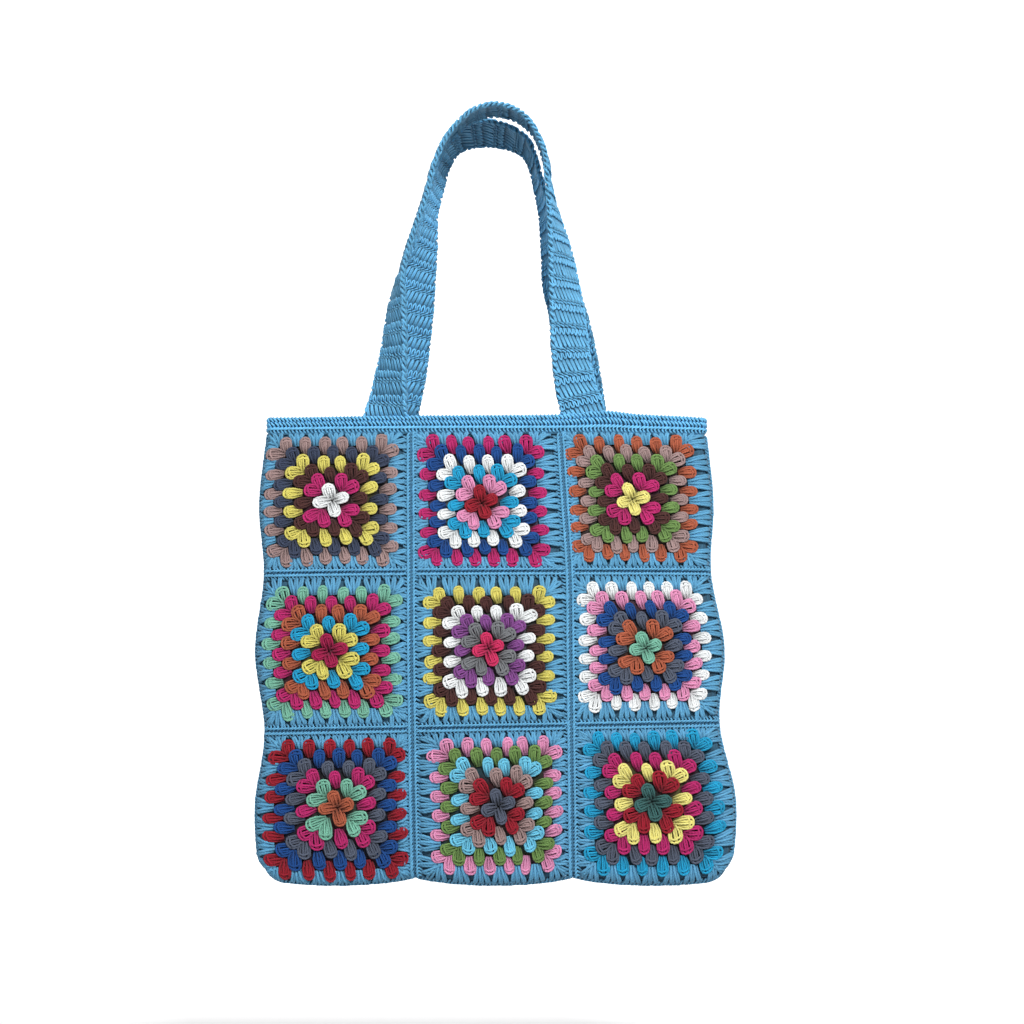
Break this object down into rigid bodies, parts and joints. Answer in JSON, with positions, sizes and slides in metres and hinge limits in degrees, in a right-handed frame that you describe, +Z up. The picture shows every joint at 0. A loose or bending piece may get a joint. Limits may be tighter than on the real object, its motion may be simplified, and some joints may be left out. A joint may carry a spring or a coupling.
{
  "type": "granny tote bag",
  "caption": "Crocheted tote bag of granny squares in many colours, joined with light blue ridges, hanging by two long crocheted straps.",
  "frame": {"origin": "the point under the top of the two straps where the bag hangs", "axes": "+Z up along the bag's length, +X across its width to the right of the front, front towards -Y"},
  "size_m": [0.3881, 0.0815, 0.6424],
  "materials": {
    "taupe_edged_square": "crocheted cotton yarn, seven rounds of clusters in seven colours, the sixth taupe and the last light blue",
    "magenta_edged_square": "crocheted cotton yarn, seven rounds of clusters in seven colours, the sixth magenta and the last light blue",
    "rust_edged_square": "crocheted cotton yarn, seven rounds of clusters in seven colours, the sixth rust and the last light blue",
    "mint_edged_square": "crocheted cotton yarn, seven rounds of clusters in seven colours, the sixth mint and the last light blue",
    "yellow_edged_square": "crocheted cotton yarn, seven rounds of clusters in seven colours, the sixth yellow and the last light blue",
    "white_edged_square": "crocheted cotton yarn, seven rounds of clusters in seven colours, the sixth white and the last light blue",
    "crimson_edged_square": "crocheted cotton yarn, seven rounds of clusters in seven colours, the sixth crimson and the last light blue",
    "pink_edged_square": "crocheted cotton yarn, seven rounds of clusters in seven colours, the sixth pink and the last light blue",
    "turquoise_edged_square": "crocheted cotton yarn, seven rounds of clusters in seven colours, the sixth turquoise and the last light blue",
    "blue_yarn": "crocheted light blue cotton yarn in rows of short stitches and chain ridges",
    "blue_strap_yarn": "light blue cotton yarn crocheted in rows of tall stitches"
  },
  "bodies": {
    "root": {"square_front_top_left": "taupe_edged_square", "square_front_top_centre": "magenta_edged_square", "square_front_top_right": "rust_edged_square", "square_front_middle_left": "mint_edged_square", "square_front_middle_centre": "yellow_edged_square", "square_front_middle_right": "white_edged_square", "square_front_bottom_left": "crimson_edged_square", "square_front_bottom_centre": "pink_edged_square", "square_front_bottom_right": "turquoise_edged_square", "square_back_top_left": "pink_edged_square", "square_back_top_centre": "rust_edged_square", "square_back_top_right": "mint_edged_square", "square_back_middle_left": "magenta_edged_square", "square_back_middle_centre": "turquoise_edged_square", "square_back_middle_right": "taupe_edged_square", "square_back_bottom_left": "white_edged_square", "square_back_bottom_centre": "crimson_edged_square", "square_back_bottom_right": "yellow_edged_square", "joins_front": "blue_yarn", "joins_back": "blue_yarn", "side_and_base_seam": "blue_yarn", "rim_band": "blue_yarn", "handle_front": "blue_strap_yarn", "handle_back": "blue_strap_yarn"}
  },
  "joints": []
}
